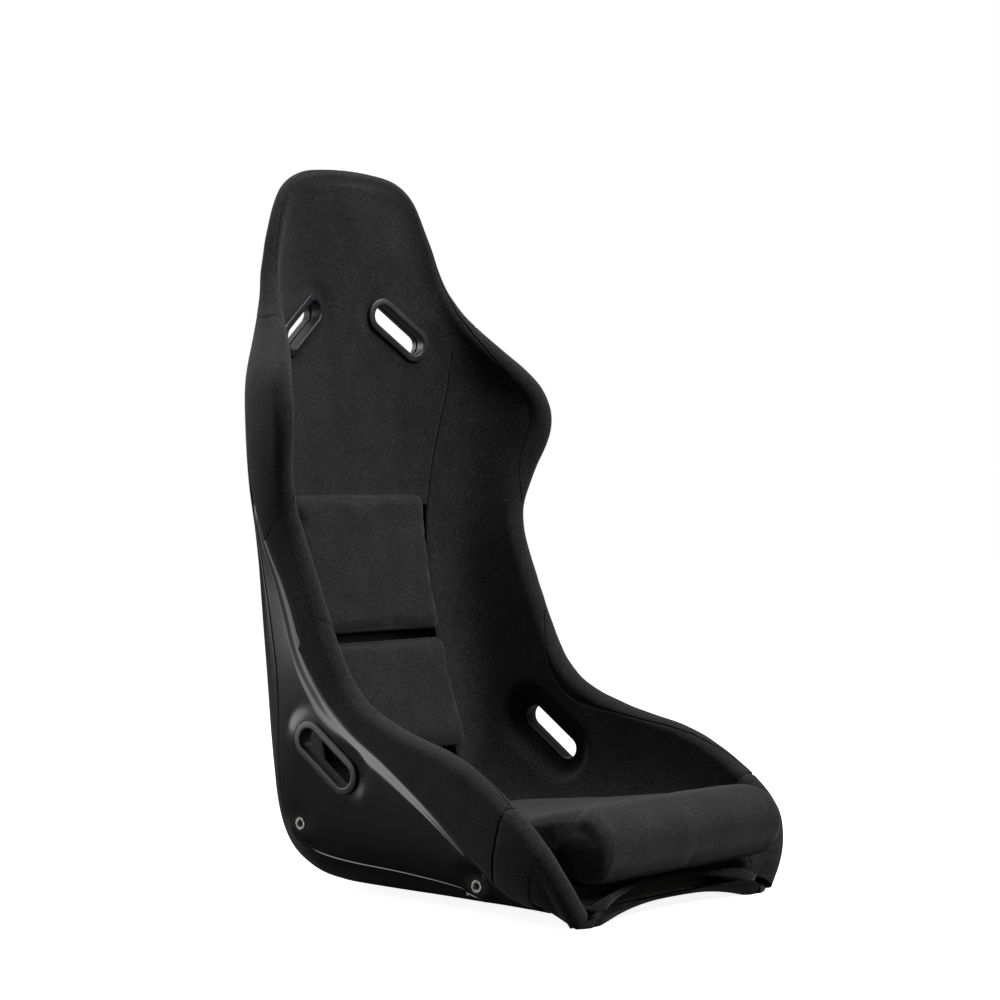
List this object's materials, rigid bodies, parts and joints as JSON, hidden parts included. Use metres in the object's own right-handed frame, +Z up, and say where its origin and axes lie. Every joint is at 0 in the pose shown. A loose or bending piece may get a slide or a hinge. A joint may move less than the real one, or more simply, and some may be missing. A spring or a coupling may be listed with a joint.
{
  "type": "racing bucket seat",
  "caption": "Fixed-back racing bucket seat with a gloss shell, fabric trim, removable pads, front cushion roll, harness slots and threaded side mounts.",
  "frame": {"origin": "on the floor under the middle of the seat's box", "axes": "+Z up, the longest way; +X to the seat's left-right mirror side, the occupant faces -Y"},
  "size_m": [0.5184, 0.586, 0.8889],
  "materials": {
    "gloss_black_grp": "gloss",
    "adhesive": "matte",
    "zinc_steel": "satin",
    "foam": "matte",
    "black_velour": "velour",
    "hook_tape": "matte",
    "satin_bezel": "satin"
  },
  "bodies": {
    "root": {"shell_pan": "gloss_black_grp", "shell_inner_back": "gloss_black_grp", "shell_side_left": "gloss_black_grp", "shell_side_right": "gloss_black_grp", "shell_shoulder_left": "gloss_black_grp", "shell_shoulder_right": "gloss_black_grp", "shell_back": "gloss_black_grp", "bond_bead_left": "adhesive", "bond_bead_right": "adhesive", "mount_inserts": "zinc_steel", "mount_plate_left": "zinc_steel", "mount_plate_right": "zinc_steel", "back_foam": "foam", "side_foam_left": "foam", "side_foam_right": "foam", "pan_foam": "foam", "upper_pad_foam": "foam", "lower_pad_foam": "foam", "cushion_foam": "foam", "centre_cover": "black_velour", "headrest_edge_cover": "black_velour", "side_cover_left": "black_velour", "side_cover_right": "black_velour", "upper_rim_cover_left": "black_velour", "upper_rim_cover_right": "black_velour", "lower_rim_cover_left": "black_velour", "lower_rim_cover_right": "black_velour", "corner_cover_left": "black_velour", "corner_cover_right": "black_velour", "front_lip_cover": "black_velour", "upper_pad_cover": "black_velour", "lower_pad_cover": "black_velour", "cushion_cover": "black_velour", "pad_hook_strips": "hook_tape", "shoulder_bezel_left": "satin_bezel", "shoulder_bezel_right": "satin_bezel", "shoulder_sleeve_left": "satin_bezel", "shoulder_sleeve_right": "satin_bezel", "lap_bezel_left": "satin_bezel", "lap_bezel_right": "satin_bezel"}
  },
  "joints": []
}
